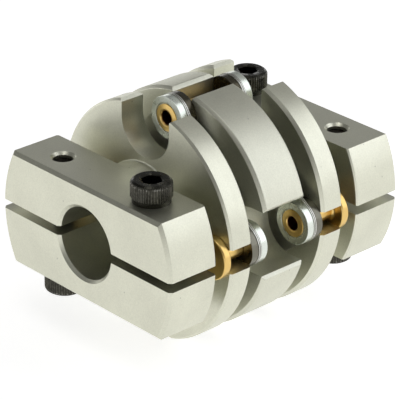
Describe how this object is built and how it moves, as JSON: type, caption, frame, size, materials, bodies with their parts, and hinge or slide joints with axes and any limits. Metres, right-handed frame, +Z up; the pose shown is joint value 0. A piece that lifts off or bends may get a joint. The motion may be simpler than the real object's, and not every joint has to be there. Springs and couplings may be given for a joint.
{
  "type": "disc coupling",
  "caption": "two-stage disc coupling with clamp hubs, a slotted centre member and riveted spring steel disc packs that join two shafts",
  "frame": {"origin": "middle of the coupling on the shaft axis, half way between the two hub faces", "axes": "+X is the shaft axis from the front hub to the rear hub, +Y is to the left seen along +X, +Z is up, square to the clamp blocks' flats"},
  "size_m": [0.0414, 0.0334, 0.0334],
  "materials": {
    "hub_aluminium": "fine turned and milled aluminium with a matt clear anodised skin",
    "centre_aluminium": "fine turned aluminium with a matt clear anodised skin, rim left bare",
    "spring_steel": "bright rolled stainless spring steel sheet",
    "washer_steel": "bright turned steel with a pale blue zinc tone",
    "spacer_steel": "dark hardened steel with a brown black heat oxide",
    "brass": "bare brass, smooth, rolled over at the ends",
    "screw_black_oxide": "black oxide alloy steel with a knurled head"
  },
  "bodies": {
    "root": {"centre_member": "centre_aluminium", "centre_rivet_top": "brass", "centre_rivet_bottom": "brass", "front_hub": "hub_aluminium", "front_screw_top": "screw_black_oxide", "front_screw_bottom": "screw_black_oxide", "front_eyelet_left": "brass", "front_eyelet_right": "brass", "front_lamina_1": "spring_steel", "front_lamina_2": "spring_steel", "front_lamina_3": "spring_steel", "front_lamina_4": "spring_steel", "front_washer_outer_left": "spacer_steel", "front_washer_outer_right": "spacer_steel", "front_washer_outer_top": "washer_steel", "front_washer_outer_bottom": "washer_steel", "front_washer_inner_left": "washer_steel", "front_washer_inner_right": "washer_steel", "front_washer_inner_top": "spacer_steel", "front_washer_inner_bottom": "spacer_steel", "rear_hub": "hub_aluminium", "rear_screw_top": "screw_black_oxide", "rear_screw_bottom": "screw_black_oxide", "rear_eyelet_left": "brass", "rear_eyelet_right": "brass", "rear_lamina_1": "spring_steel", "rear_lamina_2": "spring_steel", "rear_lamina_3": "spring_steel", "rear_lamina_4": "spring_steel", "rear_washer_outer_left": "spacer_steel", "rear_washer_outer_right": "spacer_steel", "rear_washer_outer_top": "washer_steel", "rear_washer_outer_bottom": "washer_steel", "rear_washer_inner_left": "washer_steel", "rear_washer_inner_right": "washer_steel", "rear_washer_inner_top": "spacer_steel", "rear_washer_inner_bottom": "spacer_steel"}
  },
  "joints": []
}
